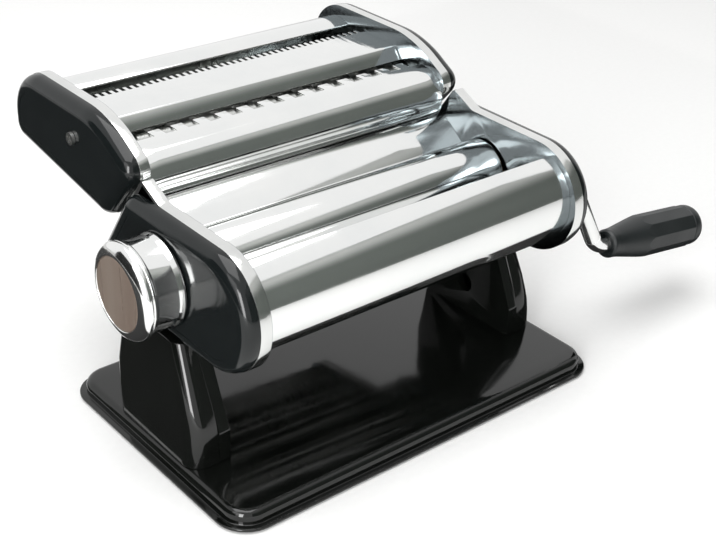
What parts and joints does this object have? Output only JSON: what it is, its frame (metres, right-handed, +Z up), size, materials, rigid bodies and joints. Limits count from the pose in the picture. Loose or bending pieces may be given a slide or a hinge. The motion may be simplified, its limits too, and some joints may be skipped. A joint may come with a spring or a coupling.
{
  "type": "pasta machine",
  "caption": "Hand cranked pasta machine: smooth rollers with a gap regulator, a lift-off cutter with broad and narrow cutter rollers, on a black base.",
  "frame": {"origin": "middle of the base plate, on the table plane under the rubber feet", "axes": "+X along the rollers towards the crank, +Y to the cutter at the rear, +Z up"},
  "size_m": [0.2939, 0.1777, 0.1263],
  "materials": {
    "black_paint": "gloss black enamel",
    "black_cover": "gloss black",
    "chrome": "mirror",
    "steel": "turned",
    "bronze": "satin",
    "rubber": "matt",
    "grip_plastic": "satin moulded",
    "spun_face": "satin spun"
  },
  "bodies": {
    "frame": {"base_plate": "black_paint", "rubber_feet": "rubber", "left_leg_plate": "black_paint", "right_leg_plate": "black_paint", "left_leg_cover": "black_paint", "right_leg_cover": "black_paint", "leg_bolts": "steel", "left_end_plate": "chrome", "right_end_plate": "chrome", "left_cover": "black_cover", "right_cover": "black_cover", "front_guard": "chrome", "hopper_plate": "chrome", "rear_panel": "chrome", "front_scraper": "steel", "rear_scraper": "steel", "tie_rods": "steel", "front_bushes": "bronze", "cutter_rails": "chrome"},
    "drive": {"front_roller": "chrome", "front_gear": "steel"},
    "crank": {"crank_rod": "chrome"},
    "grip": {"crank_grip": "grip_plastic", "grip_cap": "grip_plastic"},
    "carriage": {"left_bearing_block": "bronze", "right_bearing_block": "bronze"},
    "driven": {"rear_roller": "chrome", "rear_gear": "steel"},
    "regulator": {"scroll_disc": "steel", "regulator_nut": "steel", "knob_spring": "steel"},
    "knob": {"knob_barrel": "chrome", "knob_face": "spun_face"},
    "cutter": {"cutter_left_plate": "chrome", "cutter_right_plate": "chrome", "cutter_left_cover": "black_cover", "cutter_right_cover": "black_cover", "cutter_screws": "steel", "cutter_front_guard": "chrome", "cutter_rear_guard": "chrome", "cutter_centre_plate": "chrome", "cutter_tongues": "steel", "cutter_tie_rods": "steel", "wide_combs": "steel", "fine_combs": "steel"},
    "wide_front": {"wide_roller_front": "steel", "wide_gear_front": "steel"},
    "wide_rear": {"wide_roller_rear": "steel", "wide_gear_rear": "steel"},
    "fine_front": {"fine_roller_front": "steel", "fine_gear_front": "steel"},
    "fine_rear": {"fine_roller_rear": "steel", "fine_gear_rear": "steel"}
  },
  "joints": [
    {"name": "crank_turn", "type": "hinge", "parent": "frame", "child": "drive", "pos_m": [0, -0.0345, 0.0798], "axis": [1, 0, 0], "continuous": true},
    {"name": "crank_pull", "type": "slide", "parent": "drive", "child": "crank", "axis": [1, 0, 0], "range_m": [0, 0.02]},
    {"name": "grip_turn", "type": "hinge", "parent": "crank", "child": "grip", "pos_m": [0.119, -0.0345, 0.0423], "axis": [0.991, 0, -0.134], "continuous": true},
    {"name": "regulator_turn", "type": "hinge", "parent": "frame", "child": "regulator", "pos_m": [0, -0.0021, 0.0798], "axis": [1, 0, 0], "range_deg": [0, 300]},
    {"name": "knob_pull", "type": "slide", "parent": "regulator", "child": "knob", "axis": [-1, 0, 0], "range_m": [0, 0.004], "stiffness_N_per_m": 800, "springref_m": -0.005, "deforming": ["knob_spring"]},
    {"name": "gap_slide", "type": "slide", "parent": "frame", "child": "carriage", "axis": [0, 1, 0], "range_m": [-0.0039, 0]},
    {"name": "rear_roller_turn", "type": "hinge", "parent": "carriage", "child": "driven", "pos_m": [0, -0.0021, 0.0798], "axis": [1, 0, 0], "continuous": true},
    {"name": "cutter_lift", "type": "slide", "parent": "frame", "child": "cutter", "axis": [0, -0.5683, 0.8228], "range_m": [0, 0.06]},
    {"name": "wide_front_turn", "type": "hinge", "parent": "cutter", "child": "wide_front", "pos_m": [0, 0.0411, 0.103], "axis": [1, 0, 0], "continuous": true},
    {"name": "wide_rear_turn", "type": "hinge", "parent": "cutter", "child": "wide_rear", "pos_m": [0, 0.0569, 0.103], "axis": [1, 0, 0], "continuous": true},
    {"name": "fine_front_turn", "type": "hinge", "parent": "cutter", "child": "fine_front", "pos_m": [0, 0.0781, 0.103], "axis": [1, 0, 0], "continuous": true},
    {"name": "fine_rear_turn", "type": "hinge", "parent": "cutter", "child": "fine_rear", "pos_m": [0, 0.0939, 0.103], "axis": [1, 0, 0], "continuous": true}
  ],
  "couplings": [
    {"joint": "rear_roller_turn", "follows": "crank_turn", "ratio": -1},
    {"joint": "regulator_turn", "follows": "gap_slide", "rad_per_m": -1342.6},
    {"joint": "wide_rear_turn", "follows": "wide_front_turn", "ratio": -1},
    {"joint": "fine_rear_turn", "follows": "fine_front_turn", "ratio": -1}
  ]
}
